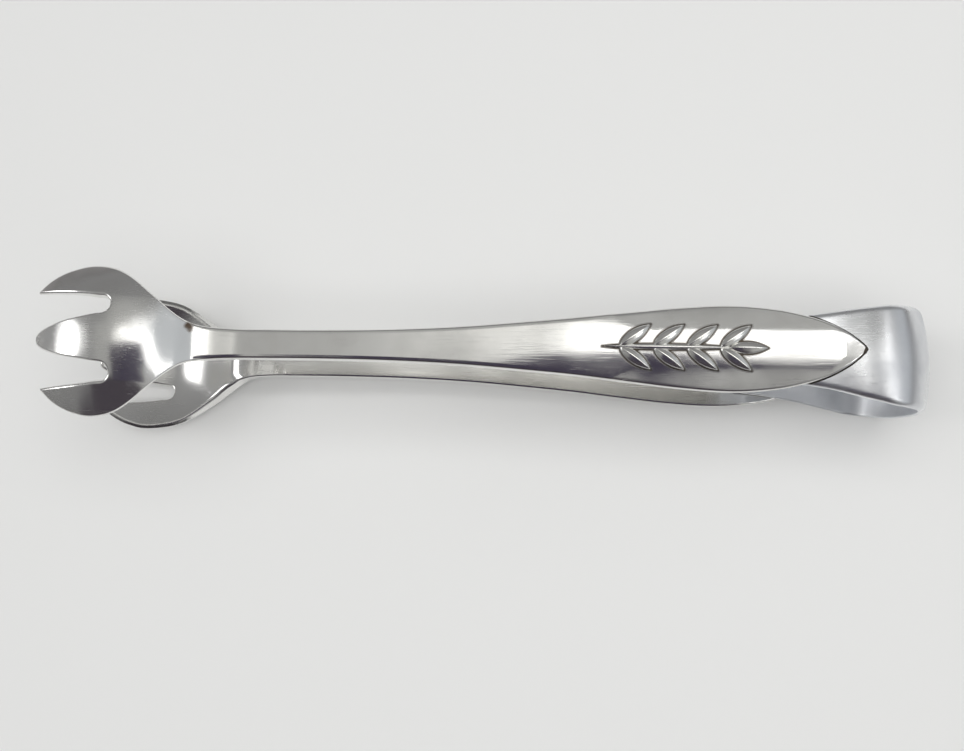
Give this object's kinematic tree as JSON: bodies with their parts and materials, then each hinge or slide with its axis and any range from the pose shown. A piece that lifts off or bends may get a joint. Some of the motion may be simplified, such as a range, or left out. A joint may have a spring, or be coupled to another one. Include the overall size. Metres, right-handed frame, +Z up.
{
  "type": "sugar tongs",
  "caption": "Polished silver sugar tongs: cupped claws with pointed tines, slim shanks, crowned leaf-shaped grips with a raised sprig, and a springy bow that holds them open.",
  "frame": {"origin": "middle of the tongs' box at table height, with the tongs lying on their lower arm as in the picture", "axes": "+X along the tongs from the claws to the bow, +Y across them, +Z up from the table and from the lower arm to the upper arm"},
  "size_m": [0.1056, 0.0176, 0.0306],
  "materials": {
    "arm_silver": "polished sterling silver with fine wear scratches and bright filed edges",
    "bow_silver": "sterling silver polish gone soft and hazy from handling",
    "ornament_silver": "polished sterling silver with darkened silver in the recesses"
  },
  "bodies": {
    "bow": {"bow": "bow_silver"},
    "lower_arm": {"lower_arm": "arm_silver", "lower_ornament": "ornament_silver"},
    "upper_arm": {"upper_arm": "arm_silver", "upper_ornament": "ornament_silver"}
  },
  "joints": [
    {"name": "lower_arm_flex", "type": "hinge", "parent": "bow", "child": "lower_arm", "pos_m": [0.04998, 0, 0.00445], "axis": [0, 1, 0], "range_deg": [0, 5.3], "stiffness_Nm_per_rad": 3.9, "deforming": ["bow"]},
    {"name": "upper_arm_flex", "type": "hinge", "parent": "bow", "child": "upper_arm", "pos_m": [0.05059, 0, 0.01671], "axis": [0, -1, 0], "range_deg": [0, 5.3], "stiffness_Nm_per_rad": 3.9, "deforming": ["bow"]}
  ],
  "couplings": [
    {"joint": "upper_arm_flex", "follows": "lower_arm_flex", "ratio": 1}
  ]
}
